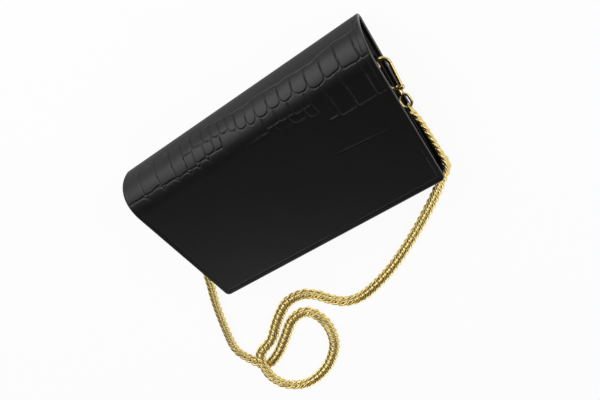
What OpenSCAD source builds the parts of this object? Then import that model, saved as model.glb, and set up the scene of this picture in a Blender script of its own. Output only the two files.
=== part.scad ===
// Shoulder bag with a curved front flap and a woven chain, lying on its back.
// X runs across the bag, Y up towards the fold, Z out through the flap.
// The origin is the middle of the back panel, on the surface that it rests on.

/* [Bag] */
// Width across the fold
bag_w = 210; // [200:1:230]
// Width at the foot, as a share of the width across the fold
foot_share = 0.918; // [0.9:0.002:0.96]
// Height from the foot to the fold
bag_h = 120.8; // [112:0.2:130]
// Depth under the rounded top of the flap
top_d = 36; // [34:0.5:40]
// Depth at the foot
foot_d = 26.4; // [25:0.2:29]
// Length of the rounded top, measured down the bag
curve_l = 27; // [23:0.5:28]
// Power of the rounded top's curve, where 2 is an ellipse
curve_power = 2.34; // [2.1:0.02:2.6]
// Radius of the corners at the foot
corner_r = 3.5; // [2:0.5:6]

/* [Layers] */
// Thickness of the outer skin
skin_t = 1; // [0.8:0.1:1.3]
// Thickness of the stiffening board
board_t = 0.8; // [0.6:0.1:1.2]
// Thickness of the lining
lining_t = 0.6; // [0.4:0.1:0.8]
// Width of the turned edge round each board
rim_w = 3; // [2:0.5:5]
// Gap between a board and the turned edge
lay_gap = 0.2; // [0.1:0.05:0.4]
// Gap between pieces that move past each other
move_gap = 0.3; // [0.2:0.05:0.5]

/* [Body] */
// How far the sides of the body lie inside the flap
side_in = 3; // [2:0.5:5]
// How far the bottom lies inside the foot
foot_in = 2; // [1:0.5:4]
// Distance from the fold down to the mouth
mouth_drop = 29.5; // [28:0.5:34]
// How far the gusset wall lies inside the foot's edge
wall_in = 5.5; // [4.5:0.5:8]
// Thickness of a gusset
gusset_t = 1.2; // [0.8:0.1:1.6]
// Thickness of the bottom
bottom_t = 1.6; // [1.2:0.1:2.4]
// Width of the slip pocket
pocket_w = 120; // [90:1:150]
// Height of the slip pocket
pocket_h = 62; // [40:1:74]
// Thickness of the slip pocket's cloth
pocket_t = 0.6; // [0.4:0.1:0.8]
// Room inside the slip pocket
pocket_gap = 0.9; // [0.6:0.1:1.2]

/* [Snap] */
// Gap between the flap and the front panel
snap_gap = 4.2; // [4:0.1:5]
// Distance from the foot to the middle of the snap
snap_up = 24; // [16:1:40]
// Radius of the snap's discs
snap_r = 7; // [6:0.5:9]
// Thickness of the stud's disc
stud_t = 1.3; // [1:0.1:1.5]
// Radius of the stud's nipple
nipple_r = 2.2; // [1.8:0.1:2.5]
// Height of the stud's nipple
nipple_h = 1.6; // [1:0.1:1.8]
// Clearance round the nipple
nipple_gap = 0.8; // [0.6:0.1:1]
// Radius of the washers inside the boards
washer_r = 8; // [6:0.5:10]

/* [Ring and tab] */
// Thickness of the tab's leather
tab_t = 1.2; // [1:0.1:1.4]
// Width of the tab
tab_w = 7; // [5:0.5:7.6]
// Length of the tab below its ring
tab_l = 19; // [14:1:24]
// Length of the tab's neck, where its two plies meet
tab_neck = 5; // [3:0.5:7]
// Radius of the ring's wire
ring_wire = 1; // [0.8:0.05:1.1]
// Clear width inside the ring
ring_in = 8; // [7.8:0.1:9]
// Length of the ring's straight sides
ring_leg = 4.7; // [4.4:0.1:5.2]
// Clearance round the ring in its tab
ring_gap = 0.25; // [0.15:0.05:0.35]
// Height of the ring's bar above the gusset
ring_up = 3.5; // [2.5:0.25:5]
// Where the rings and hooks lie in the depth of the mouth, from the back to the front
side_share = 0.592; // [0.56:0.004:0.6]

/* [Hook] */
// Radius of the hook's wire
hook_wire = 1.3; // [1.1:0.05:1.4]
// Radius of the hook's round top, at the middle of its wire
hook_r = 5.3; // [5.1:0.1:5.8]
// Length from the hook's base to the middle of its round top
hook_l = 18; // [17:0.2:22]
// Radius of the hook's base
base_r = 1.9; // [1.8:0.05:2.1]
// Half width of the hook's base, to the gate pin and to the leg
base_half = 3.1; // [2.9:0.1:3.3]
// Length of the hook's nose below its round top
nose_l = 3.4; // [2.6:0.2:4.4]
// Radius of the collar round the swivel
collar_r = 2.2; // [1.9:0.1:2.6]
// Length of the collar
collar_l = 1.2; // [0.8:0.2:3]
// Radius of the gate
gate_r = 1.1; // [0.9:0.05:1.1]
// Radius of the gate's pin
pin_r = 0.5; // [0.4:0.05:0.6]
// Running clearance of pins and shanks
run_gap = 0.06; // [0.03:0.01:0.1]
// Thickness of the fork's cheeks
cheek_t = 0.55; // [0.5:0.05:0.6]
// Radius of the fork's cheeks
cheek_r = 1.7; // [1.5:0.05:1.8]
// Half height of the fork
fork_half = 1.75; // [1.6:0.05:1.78]

/* [Swivel eye] */
// Radius of the swivel's shank
shank_r = 1; // [0.8:0.05:1.1]
// Radius of the swivel's head
head_r = 1.5; // [1.3:0.05:1.6]
// Thickness of the swivel's head
head_t = 0.8; // [0.6:0.05:1]
// Radius of the eye's wire
eye_wire = 0.95; // [0.8:0.05:1]
// Radius of the eye's ends, at the middle of its wire
eye_r = 3.4; // [3.2:0.1:3.8]
// Length of the eye's straight sides
eye_leg = 3; // [2.6:0.2:4]
// Radius of the end link's wire
link_wire = 0.8; // [0.7:0.05:0.85]
// Radius of the end link's ends, at the middle of its wire
link_r = 2.2; // [2.1:0.1:2.6]
// Length of the end link's straight sides
link_leg = 3; // [2.6:0.2:4]

/* [Chain] */
// Width of the chain
chain_w = 9; // [8:0.2:10]
// Thickness of the chain
chain_t = 6.4; // [5.6:0.2:6.4]

/* [Hidden] */
$fn = 48;

// Colours of the finishes
leather = "#1c1c1c";
cloth = "#2a2622";
card = "#8a7a62";
gold = "#d9b65c";
steel = "#b8b8b8";

// Steps along the rounded top, and along a rounded corner
curve_steps = 18;
corner_steps = 6;

// Share of a quarter turn of the curve that stays on the fold strip
split_share = 0.5;

// Where the ring's bow hangs in the hook, as shares of its free travel
bow_across_share = 0.76;
bow_down_share = -0.48;

// Overrun of cuts
over = bag_h / 50;

half_h = bag_h / 2;
foot_w = bag_w * foot_share;
panel_t = skin_t + board_t + lining_t;
slope = atan((top_d - foot_d) / (bag_h - curve_l));
flat_l = (bag_h - curve_l) / cos(slope);
front_at = panel_t + snap_gap;
mouth_y = half_h - mouth_drop;
wall_x = foot_w / 2 - wall_in;

// Half the width of the bag at a height
function half_w(y) = foot_w / 2 + (bag_w - foot_w) / 2 * (y + half_h) / bag_h;

// Height of a plane under the flap's flat part, a depth inside its outer face
function under_z(y, depth) = foot_d - depth / cos(slope) + (y + half_h) * tan(slope);

// A point of the rounded top, moved inwards by a depth
function curve_dir(a) = let (k = 2 / curve_power - 1,
                             ty = -curve_l * pow(cos(a), k) * sin(a),
                             tz = top_d * pow(sin(a), k) * cos(a),
                             n = norm([ty, tz])) [ty / n, tz / n];
function curve_at(a, depth) = let (k = 2 / curve_power, t = curve_dir(a))
    [half_h - curve_l * (1 - pow(cos(a), k)) - depth * t[1], top_d * pow(sin(a), k) + depth * t[0]];
function curve(from, to, depth) =
    [for (i = [0 : curve_steps]) curve_at(from + (to - from) * i / curve_steps, depth)];

// A point of the flap's flat part, a length up from the foot and a depth inside
function flat_at(up, depth) = [-half_h + up * cos(slope) + depth * sin(slope),
                               foot_d + up * sin(slope) - depth * cos(slope)];

// Angles of the curve: where the strip starts above the back panel, where it meets the flap,
// and where the curve gives way to the flat part
start_a = asin(pow((panel_t + move_gap) / top_d, curve_power / 2));
split_a = 90 * split_share;
end_a = 90 - asin(pow(panel_t / curve_l, curve_power / 2)) / 2;
split_gap_a = atan(move_gap / top_d) / 2;

// Places of the hardware on the right side, mirrored on the left
loop_in = ring_wire + ring_gap;
loop_out = loop_in + tab_t;
ring_x = wall_x + loop_out;
ring_y = mouth_y + ring_up;
side_z = panel_t + (under_z(ring_y, front_at + panel_t) - panel_t) * side_share;
ring_r = ring_in / 2 + ring_wire;
ring_reach = ring_leg + ring_r;
ring_turn = -51.5;
bow_x = ring_x + ring_reach * cos(ring_turn);
bow_y = ring_y + ring_reach * sin(ring_turn);
bow_side = hook_r - hook_wire - ring_wire - 2 * ring_gap;
hook_x = bow_x + bow_side * bow_across_share;
top_y = bow_y + bow_side * bow_down_share;
base_y = top_y - hook_l;
pin_y = base_y + hook_wire;
shank_top = base_y + base_r + move_gap;
eye_top = base_y - base_r - collar_l - move_gap - eye_wire;
eye_foot = eye_top - 2 * eye_r - eye_leg;
link_top = eye_foot + eye_wire + link_wire + run_gap;
link_foot = link_top - 2 * link_r - link_leg;

// Route of the chain from the right hook to the left one, as chosen points of its middle and
// its tilt, where 90 is on edge
ROUTE = [
    [hook_x, link_foot + link_wire, side_z, 90], [100.3, -29.1, 15, 90], [98.9, -49.1, 10.8, 88],
    [97.2, -61.5, 8.2, 78], [90.3, -67.9, 6.2, 62], [73.1, -82, 4.6, 48], [44.9, -100.8, 4.4, 42],
    [14.3, -117.4, 3.9, 25], [-13.9, -126.8, 3.5, 10], [-30.1, -125.2, 3.3, 0],
    [-40.1, -117.2, 3.3, 0], [-48.8, -106.9, 3.3, 0], [-59.7, -101.1, 3.3, 0],
    [-75.2, -102.4, 3.4, 0], [-92.3, -113, 3.6, 0], [-107, -125, 6.2, 0], [-119.7, -129.3, 9.9, 0],
    [-126.8, -136.8, 10.1, 0], [-128.9, -144.3, 10.1, 0], [-130.5, -157.3, 9.6, 0],
    [-128.1, -173.2, 5.2, 0], [-116.1, -182.1, 3.4, 0], [-100, -181.5, 3.3, 0],
    [-80.8, -173, 3.3, 0], [-64.8, -157.7, 3.3, 0], [-58, -139.2, 3.3, 0], [-59.9, -124.4, 3.3, 0],
    [-67.9, -116.9, 3.3, 0], [-82, -119.5, 3.3, 0], [-98.6, -131.9, 3.3, 0],
    [-115.7, -143.5, 3.3, 0], [-131, -147.8, 3.3, 0], [-138.4, -137.1, 3.4, 5],
    [-143.2, -120.6, 3.9, 30], [-137.1, -99.4, 4.7, 55], [-125.9, -71.9, 4.8, 60],
    [-115.2, -51, 5.2, 62], [-109.3, -36.5, 7, 70], [-105.2, -23.1, 12.5, 80],
    [-hook_x, link_foot + link_wire, side_z, 90]];
chain_sides = 8;
steps_per_leg = 2;

// Smooth curve through the route's points, leaving both ends along the hooks
function lead(p) = [p[0], p[1] + chain_w, p[2], p[3]];
PATH_POINTS = concat([lead(ROUTE[0])], ROUTE, [lead(ROUTE[len(ROUTE) - 1])]);
function spline(p, i, t) = (2 * p[i + 1] + (p[i + 2] - p[i]) * t
    + (2 * p[i] - 5 * p[i + 1] + 4 * p[i + 2] - p[i + 3]) * t * t
    + (3 * p[i + 1] - p[i] - 3 * p[i + 2] + p[i + 3]) * t * t * t) / 2;
function xyz(p) = [p[0], p[1], p[2]];
function unit(v) = v / norm(v);
chain_rings = (len(ROUTE) - 1) * steps_per_leg + 1;
CHAIN_PATH = [for (n = [0 : chain_rings - 1])
    let (i = min(floor(n / steps_per_leg), len(ROUTE) - 2))
    spline(PATH_POINTS, i, n / steps_per_leg - i)];
function heading(path, n) = n == 0 || n == len(path) - 1 ? [0, n == 0 ? -1 : 1, 0]
    : unit(xyz(path[n + 1]) - xyz(path[n - 1]));
function ring_point(path, n, s) =
    let (p = path[n], t = heading(path, n), side = unit(cross(t, [0, 0, 1])), up = cross(side, t),
         wide = side * cos(p[3]) + up * sin(p[3]), thick = up * cos(p[3]) - side * sin(p[3]),
         a = (s + 1 / 2) * 360 / chain_sides, out = 1 / cos(180 / chain_sides))
    xyz(p) + wide * chain_w / 2 * cos(a) * out + thick * chain_t / 2 * sin(a) * out;

// Plan of a panel, between two heights, drawn in from the bag's sides
module plan(low, high, inset, r) {
    right = [for (i = [0 : r > 0 ? corner_steps : 0]) let (a = -90 + 90 * i / corner_steps)
             [half_w(low + r) - inset - r + r * cos(a), low + r + r * sin(a)]];
    side = concat(right, [[half_w(high) - inset, high]]);
    polygon(concat(side, [for (i = [len(side) - 1 : -1 : 0]) [-side[i][0], side[i][1]]]));
}

// A section in the YZ plane, drawn out across the bag
module across(points) {
    rotate([90, 0, 90]) linear_extrude(bag_w + 2 * over, center = true) polygon(points);
}

// A plan, drawn out through the whole depth
module through(low, high, inset, r) {
    translate([0, 0, -over]) linear_extrude(top_d + 2 * over) plan(low, high, inset, r);
}

// Section of a layer of the flap, between two depths
function flap_section(d0, d1, from) = concat(
    curve(from, end_a, d0), [flat_at(flat_l, d0), flat_at(0, d0), flat_at(0, d1), flat_at(flat_l, d1)],
    curve(end_a, from, d1));

// Section of a layer of the front panel, between two depths
function front_section(d0, d1) = [flat_at(-over, d0), flat_at(flat_l, d0), flat_at(flat_l, d1),
                                  flat_at(-over, d1)];

// Section of the body's inside between two heights, from a height over the back to a depth in front
function depth_section(low, high, z, depth) = [[low, z], [high, z], [high, under_z(high, depth)],
                                               [low, under_z(low, depth)]];

// A section in the YZ plane, drawn from a plane towards the right
module outside(x, points) {
    translate([x, 0, 0]) rotate([90, 0, 90]) linear_extrude(bag_w) polygon(points);
}

// Places children on the flap's flat part, facing inwards
module on_flat(up, depth) {
    p = flat_at(up, depth);
    translate([0, p[0], p[1]]) rotate([180 + slope, 0, 0]) children();
}

// Back of the bag: a skin with a turned edge, a board and a lining
module back_panel() {
    color(leather) difference() {
        linear_extrude(panel_t) plan(-half_h, half_h, 0, corner_r);
        translate([0, 0, skin_t]) linear_extrude(panel_t)
            plan(-half_h + rim_w, half_h - rim_w, rim_w, corner_r);
    }
}
module back_board() {
    color(card) translate([0, 0, skin_t]) linear_extrude(board_t)
        plan(-half_h + rim_w + lay_gap, half_h - rim_w - lay_gap, rim_w + lay_gap, corner_r);
}
module back_lining() {
    color(cloth) translate([0, 0, skin_t + board_t]) linear_extrude(lining_t)
        plan(-half_h + rim_w + lay_gap, half_h - rim_w - lay_gap, rim_w + lay_gap, corner_r);
}

// Front of the body, under the flap
module front_layer(d0, d1, inset) {
    intersection() {
        across(front_section(front_at + d0, front_at + d1));
        through(-half_h + foot_in + inset, mouth_y - inset, side_in + inset, corner_r);
    }
}
module front_panel() {
    color(leather) difference() {
        front_layer(0, panel_t, 0);
        front_layer(skin_t, panel_t + over, rim_w);
    }
}
module front_board() {
    color(card) difference() {
        front_layer(skin_t, skin_t + board_t, rim_w + lay_gap);
        on_flat(snap_up, front_at) cylinder(r = washer_r + lay_gap, h = panel_t);
    }
}
module front_lining() {
    color(cloth) front_layer(skin_t + board_t, panel_t, rim_w + lay_gap);
}

// Bottom of the body, between the back and the front
module bottom_panel() {
    low = -half_h + foot_in;
    high = low + bottom_t;
    inner = front_at + panel_t;
    color(leather) intersection() {
        across(depth_section(low, high, panel_t, inner));
        through(low, mouth_y, side_in, corner_r);
    }
}

// One gusset: a wall drawn in from the sides, its margins turned out flat on the back and the front
module gusset() {
    low = -half_h + foot_in + bottom_t;
    inner = front_at + panel_t;
    color(leather) difference() {
        intersection() {
            outside(wall_x - gusset_t, depth_section(low, mouth_y, panel_t, inner));
            through(low, mouth_y, side_in, 0);
        }
        outside(wall_x, depth_section(low - over, mouth_y + over, panel_t + gusset_t,
                                      inner + gusset_t));
    }
}
module gusset_right() { gusset(); }
module gusset_left() { mirror([1, 0, 0]) gusset(); }

// Flat pocket on the back lining, open towards the mouth
module slip_pocket() {
    deep = pocket_gap + pocket_t;
    color(cloth) translate([-pocket_w / 2, -half_h + rim_w + foot_in, panel_t]) difference() {
        cube([pocket_w, pocket_h, deep]);
        translate([rim_w, rim_w, -over]) cube([pocket_w - 2 * rim_w, pocket_h, over + pocket_gap]);
    }
}

// Strip that folds between the back panel and the flap
module fold_strip(d0, d1, inset) {
    from = start_a;
    to = split_a - split_gap_a;
    intersection() {
        across(concat(curve(from, to, d0), curve(to, from, d1)));
        through(-half_h, half_h + over, inset, corner_r);
    }
}
module fold_skin() { color(leather) fold_strip(0, skin_t + board_t, 0); }
module fold_lining() { color(cloth) fold_strip(skin_t + board_t, panel_t, rim_w); }

// Flap: a curved skin with a turned edge, a formed board and a lining
module flap_layer(d0, d1, inset) {
    intersection() {
        across(flap_section(d0, d1, split_a + split_gap_a));
        through(-half_h + inset, half_h + over, inset, corner_r);
    }
}
module flap_skin() {
    color(leather) difference() {
        flap_layer(0, panel_t, 0);
        flap_layer(skin_t, panel_t + over, rim_w);
    }
}
module flap_board() {
    color(card) difference() {
        flap_layer(skin_t, skin_t + board_t, rim_w + lay_gap);
        on_flat(snap_up, 0) cylinder(r = washer_r + lay_gap, h = panel_t);
    }
}
module flap_lining() { color(cloth) flap_layer(skin_t + board_t, panel_t, rim_w + lay_gap); }

// Magnetic snap: a stud under the flap, a socket on the front panel, a washer behind each
module snap_stud() {
    color(gold) on_flat(snap_up, panel_t) {
        cylinder(r = snap_r, h = stud_t);
        cylinder(r = nipple_r, h = stud_t + nipple_h);
    }
}
module snap_socket() {
    color(gold) on_flat(snap_up, panel_t + stud_t + move_gap) difference() {
        cylinder(r = snap_r, h = snap_gap - stud_t - move_gap);
        translate([0, 0, -over]) cylinder(r = nipple_r + nipple_gap, h = over + nipple_h);
    }
}
module flap_washer() {
    color(steel) on_flat(snap_up, skin_t) cylinder(r = washer_r, h = board_t);
}
module front_washer() {
    color(steel) on_flat(snap_up, front_at + skin_t) cylinder(r = washer_r, h = board_t);
}

// Leather tab, folded round the ring's bar and sewn to the gusset
module tab() {
    two = 2 * tab_t;
    color(leather) translate([wall_x, ring_y, side_z - tab_w / 2]) linear_extrude(tab_w)
        difference() {
            union() {
                translate([loop_out, 0]) circle(r = loop_out);
                polygon([[0, 0], [0, -tab_l], [two, -tab_l], [two, -tab_neck], [2 * loop_out, 0]]);
            }
            translate([loop_out, 0]) circle(r = loop_in);
            polygon([[tab_t, 0], [tab_t, tab_t - tab_neck], [loop_out + loop_in, 0]]);
        }
}
module tab_right() { tab(); }
module tab_left() { mirror([1, 0, 0]) tab(); }

// A round bar between two points of the hook's plane
module rod(a, b, r) {
    d = b - a;
    translate([a[0], a[1], 0]) rotate([0, 0, atan2(d[1], d[0])]) rotate([0, 90, 0])
        cylinder(r = r, h = norm(d));
}

// Half a round of wire, open towards -Y
module half_round(r, wire) { rotate_extrude(angle = 180) translate([r, 0]) circle(r = wire); }

// An oval of wire, its straight sides along Y, from its upper end
module oval(r, leg, wire) {
    translate([0, -r, 0]) half_round(r, wire);
    translate([0, -r - leg, 0]) mirror([0, 1, 0]) half_round(r, wire);
    for (s = [-1, 1]) rod([s * r, -r - leg], [s * r, -r], wire);
}

// D-ring, its bar in the tab and its bow through the hook
module d_ring() {
    color(gold) translate([ring_x, ring_y, side_z]) rotate([0, 0, ring_turn - 90])
        rotate([0, 90, 0]) {
            translate([0, ring_leg, 0]) half_round(ring_r, ring_wire);
            rod([-ring_r, 0], [ring_r, 0], ring_wire);
            for (s = [-1, 1]) {
                rod([s * ring_r, 0], [s * ring_r, ring_leg], ring_wire);
                translate([s * ring_r, 0, 0]) sphere(r = ring_wire);
            }
        }
}
module ring_right() { d_ring(); }
module ring_left() { mirror([1, 0, 0]) d_ring(); }

// Snap hook: its base carries the leg, the round top and the nose, and a fork for the gate
module hook() {
    color(gold) translate([hook_x, base_y, side_z]) difference() {
        union() {
            rod([-base_half, 0], [base_half, 0], base_r);
            for (s = [-1, 1]) translate([s * base_half, 0, 0]) sphere(r = base_r);
            rod([base_half, 0], [hook_r, hook_l], hook_wire);
            translate([0, hook_l, 0]) half_round(hook_r, hook_wire);
            translate([hook_r, hook_l, 0]) sphere(r = hook_wire + run_gap);
            rod([-hook_r, hook_l - nose_l], [-hook_r, hook_l], hook_wire);
            rod([0, 0], [0, -base_r - collar_l], collar_r);
            translate([-base_half, hook_wire, 0])
                cylinder(r = cheek_r, h = 2 * fork_half, center = true);
        }
        rod([0, -base_r - collar_l - over], [0, base_r + over], shank_r + run_gap);
        translate([-base_half, hook_wire, 0]) {
            cylinder(r = cheek_r + move_gap, h = 2 * (fork_half - cheek_t), center = true);
            cylinder(r = pin_r, h = 2 * (base_r + over), center = true);
        }
    }
}
module hook_right() { hook(); }
module hook_left() { mirror([1, 0, 0]) hook(); }

// Sprung gate that closes the hook against its nose
module gate() {
    foot = [-base_half, hook_wire];
    tip = [-hook_r, hook_l - nose_l - move_gap];
    color(gold) translate([hook_x, base_y, side_z]) difference() {
        union() {
            rod(foot, tip, gate_r);
            translate([foot[0], foot[1], 0])
                cylinder(r = cheek_r, h = 2 * (fork_half - cheek_t - run_gap), center = true);
        }
        translate([foot[0], foot[1], 0])
            cylinder(r = pin_r + run_gap, h = 2 * (base_r + over), center = true);
    }
}
module gate_right() { gate(); }
module gate_left() { mirror([1, 0, 0]) gate(); }

// Pin of the gate, pressed into the fork
module gate_pin() {
    color(gold) translate([hook_x - base_half, pin_y, side_z])
        cylinder(r = pin_r, h = 2 * fork_half, center = true);
}
module gate_pin_right() { gate_pin(); }
module gate_pin_left() { mirror([1, 0, 0]) gate_pin(); }

// Swivel eye, its shank riveted through the hook's collar
module swivel_eye() {
    color(gold) translate([hook_x, 0, side_z]) {
        rod([0, eye_top], [0, shank_top], shank_r);
        rod([0, base_y + base_r + run_gap], [0, base_y + base_r + run_gap + head_t], head_r);
        translate([0, eye_top, 0]) oval(eye_r, eye_leg, eye_wire);
    }
}
module swivel_eye_right() { swivel_eye(); }
module swivel_eye_left() { mirror([1, 0, 0]) swivel_eye(); }

// Link that joins the eye to the chain
module end_link() {
    color(gold) translate([hook_x, link_top, side_z]) rotate([0, 90, 0])
        oval(link_r, link_leg, link_wire);
}
module end_link_right() { end_link(); }
module end_link_left() { mirror([1, 0, 0]) end_link(); }

// Chain, as one plain band along its route
module chain() {
    s = chain_sides;
    r = chain_rings;
    color(gold) polyhedron(
        [for (n = [0 : r - 1], k = [0 : s - 1]) ring_point(CHAIN_PATH, n, k)],
        concat([[for (k = [0 : s - 1]) k], [for (k = [s - 1 : -1 : 0]) (r - 1) * s + k]],
               [for (n = [0 : r - 2], k = [0 : s - 1])
                [n * s + k, (n + 1) * s + k, (n + 1) * s + (k + 1) % s, n * s + (k + 1) % s]]));
}

back_panel();
back_board();
back_lining();
front_panel();
front_board();
front_lining();
bottom_panel();
gusset_right();
gusset_left();
slip_pocket();
fold_skin();
fold_lining();
flap_skin();
flap_board();
flap_lining();
snap_stud();
snap_socket();
flap_washer();
front_washer();
tab_right();
tab_left();
ring_right();
ring_left();
hook_right();
hook_left();
gate_right();
gate_left();
gate_pin_right();
gate_pin_left();
swivel_eye_right();
swivel_eye_left();
end_link_right();
end_link_left();
chain();
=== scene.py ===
import math

import bmesh
import bpy
import numpy as np
from mathutils import Matrix, Vector


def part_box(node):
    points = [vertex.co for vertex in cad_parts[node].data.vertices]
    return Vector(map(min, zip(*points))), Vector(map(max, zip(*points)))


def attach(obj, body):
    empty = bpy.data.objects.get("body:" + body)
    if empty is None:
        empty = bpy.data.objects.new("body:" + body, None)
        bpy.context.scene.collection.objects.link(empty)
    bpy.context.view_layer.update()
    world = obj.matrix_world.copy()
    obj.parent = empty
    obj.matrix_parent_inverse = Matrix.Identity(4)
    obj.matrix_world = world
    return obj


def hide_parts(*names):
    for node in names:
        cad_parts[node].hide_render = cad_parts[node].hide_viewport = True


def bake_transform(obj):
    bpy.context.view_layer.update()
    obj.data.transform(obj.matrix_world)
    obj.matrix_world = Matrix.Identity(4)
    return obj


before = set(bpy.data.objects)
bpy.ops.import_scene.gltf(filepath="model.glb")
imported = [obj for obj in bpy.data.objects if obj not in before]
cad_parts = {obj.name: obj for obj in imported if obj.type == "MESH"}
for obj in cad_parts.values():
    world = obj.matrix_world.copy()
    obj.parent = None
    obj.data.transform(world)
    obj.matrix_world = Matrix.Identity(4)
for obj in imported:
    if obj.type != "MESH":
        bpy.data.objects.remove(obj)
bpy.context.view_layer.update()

MM = 0.001

# Sizes of the bag, in millimetres
HALF_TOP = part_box("back_panel")[1].x / MM
HALF_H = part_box("back_panel")[1].y / MM
TOP_D = 36.0
FOOT_HALF = 96.39
FOOT_D = 26.4
CURVE_L = 27.0
CURVE_POWER = 2.34
CORNER_R = 3.5
BACK_CORNER_R = 1.5
SKIN_T = 1.0
LINING_T = 0.6
BOARD_T = 0.8
PANEL_T = 2.4
RIM_W = 3.0
RIM_EDGE = 3.05
SIDE_IN = 3.0
FOOT_IN = 2.0
MOUTH_Y = 30.9
FRONT_AT = 6.6
WALL_X = 90.89
GUSSET_T = 1.2
GUSSET_BEND = 1.0
BOTTOM_T = 1.6
BOTTOM_BOW = 1.8
BOTTOM_END_IN = 0.2
BACK_BEND_R = 5.0
POCKET_W = 120.0
POCKET_H = 62.0
POCKET_T = 0.6
POCKET_GAP = 0.9
TAB_T = 1.2
TAB_W = 7.0
TAB_NECK = 5.0
LOOP_R = 1.85
CREASE = 1.5
SEAM_IN = 1.7
STITCH_PITCH = 3.4
STITCH_L = 2.5
STITCH_R = 0.26

SLOPE = math.atan((TOP_D - FOOT_D) / (2 * HALF_H - CURVE_L))
FLAT_NORMAL = np.array([0, -math.sin(SLOPE), math.cos(SLOPE)])

# Where the leather turns between two bodies: the back and the fold, and the fold and the flap
BACK_BEND = (Vector((0, HALF_H - BACK_BEND_R, 0)) * MM, Vector((0, HALF_H, BACK_BEND_R)) * MM)
SPLIT_AT = Vector((0, 53.478, 26.771)) * MM
SPLIT_REACH = 7
SPLIT_ALONG = Vector((0, -0.72, 0.69)) * SPLIT_REACH * MM
FLAP_BEND = (SPLIT_AT - SPLIT_ALONG, SPLIT_AT + SPLIT_ALONG)


# Camera and chain

CAMERA_AT = (0.1767, 0.1244, 0.4122)
CAMERA_RIGHT = (0.79762, -0.58735, -0.13721)
CAMERA_DOWN = (-0.46213, -0.74129, 0.48675)
CAMERA_AHEAD = (-0.38760, -0.32483, -0.86270)
FOCAL_PX = 636.376
IMAGE_W = 600
SENSOR = 36.0


def make_camera():
    data = bpy.data.cameras.new("camera")
    data.sensor_width = SENSOR
    data.lens = FOCAL_PX / IMAGE_W * SENSOR
    data.clip_start, data.clip_end = 0.01, 20
    camera = bpy.data.objects.new("camera", data)
    bpy.context.scene.collection.objects.link(camera)
    right, up, back = Vector(CAMERA_RIGHT), -Vector(CAMERA_DOWN), -Vector(CAMERA_AHEAD)
    turn = Matrix((right, up, back)).transposed().to_quaternion().normalized()
    camera.matrix_world = Matrix.Translation(CAMERA_AT) @ turn.to_matrix().to_4x4()
    bpy.context.scene.camera = camera


# The chain's route: its middle in millimetres, its tilt, where 90 is on edge, and the tilt of its
# woven links, which are flatter than the route's width and thickness
ROUTE = [
    (101.278, -11.33, 16.996, 90, 100), (100.3, -29.1, 15, 90, 100), (98.9, -49.1, 10.8, 88, 96),
    (97.2, -61.5, 8.2, 78, 74), (90.3, -67.9, 6.2, 62, 50), (73.1, -82, 4.6, 48, 36),
    (44.9, -100.8, 4.4, 42, 31), (14.3, -117.4, 3.9, 25, 20), (-13.9, -126.8, 3.5, 10, 8),
    (-30.1, -125.2, 3.3, 0, 0), (-40.1, -117.2, 3.3, 0, 0), (-48.8, -106.9, 3.3, 0, 0),
    (-59.7, -101.1, 3.3, 0, 0), (-75.2, -102.4, 3.4, 0, 4), (-92.3, -113, 3.6, 0, 8),
    (-107, -125, 6.2, 0, 7), (-119.7, -129.3, 9.9, 0, 4), (-126.8, -136.8, 10.1, 0, 0),
    (-128.9, -144.3, 10.1, 0, 0), (-130.5, -157.3, 9.6, 0, 3), (-128.1, -173.2, 5.2, 0, 5),
    (-116.1, -182.1, 3.4, 0, 3), (-100, -181.5, 3.3, 0, 0), (-80.8, -173, 3.3, 0, 0),
    (-64.8, -157.7, 3.3, 0, 4), (-58, -139.2, 3.3, 0, 0), (-59.9, -124.4, 3.3, 0, 0),
    (-67.9, -116.9, 3.3, 0, 0), (-82, -119.5, 3.3, 0, 3), (-98.6, -131.9, 3.3, 0, 6),
    (-115.7, -143.5, 3.3, 0, 4), (-131, -147.8, 3.3, 0, 0), (-138.4, -137.1, 3.4, 5, 0),
    (-143.2, -120.6, 3.9, 30, 14), (-137.1, -99.4, 4.7, 55, 28), (-125.9, -71.9, 4.8, 60, 31),
    (-115.2, -51, 5.2, 62, 32), (-109.3, -36.5, 7, 70, 58), (-105.2, -23.1, 12.5, 80, 84),
    (-101.278, -11.33, 16.996, 90, 90)]

# Width and thickness of the route's envelope and of the chain, then the links: their pitch, half
# lengths, lean, and the wire's half thickness and half width
ROUTE_W = 9.0
ROUTE_T = 6.4
CHAIN_W = 9.4
CHAIN_T = 4.4
LINK_PITCH = 2.8
LINK_LONG = 5.35
LINK_SHORT = 2.9
LINK_LEAN = math.radians(-30)
LINK_WIRE = 0.97
LINK_FLAT = 1.13
SMALL_LINK = 0.82
LINK_STEPS = 36
WIRE_SIDES = 10

# Heights over the table from which and at which the links keep their route's height
RISE_FROM = 7.0
RISE_TO = 12.0

# How far the ends move outwards beside the bag, over what length, and between which tilts
END_SHIFT = 1.2
END_REACH = 12.0
END_TILT = (60, 90)

# Points of the curve for each of the route's
PATH_STEPS = 8


def chain_path():
    """Points along the route, close together, from a uniform Catmull-Rom curve, each with its
    links' tilt and the height at which the route's envelope would lie on the table."""
    route = np.array(ROUTE, float)
    tilt = np.radians(route[:, 3])
    rest = (ROUTE_W * np.sin(tilt) + ROUTE_T * np.cos(tilt)) / 2
    route = np.column_stack([route[:, :3], route[:, 4], rest])
    lead = np.array([0, ROUTE_W, 0, 0, 0])
    p = np.vstack([route[:1] + lead, route, route[-1:] + lead])
    made = []
    for i in range(len(route) - 1):
        a, b, c, d = p[i:i + 4]
        for t in np.arange(PATH_STEPS) / PATH_STEPS:
            made.append((2 * b + (c - a) * t + (2 * a - 5 * b + 4 * c - d) * t * t
                         + (3 * b - a - 3 * c + d) * t ** 3) / 2)
    made.append(route[-1])
    return np.array(made)


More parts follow.
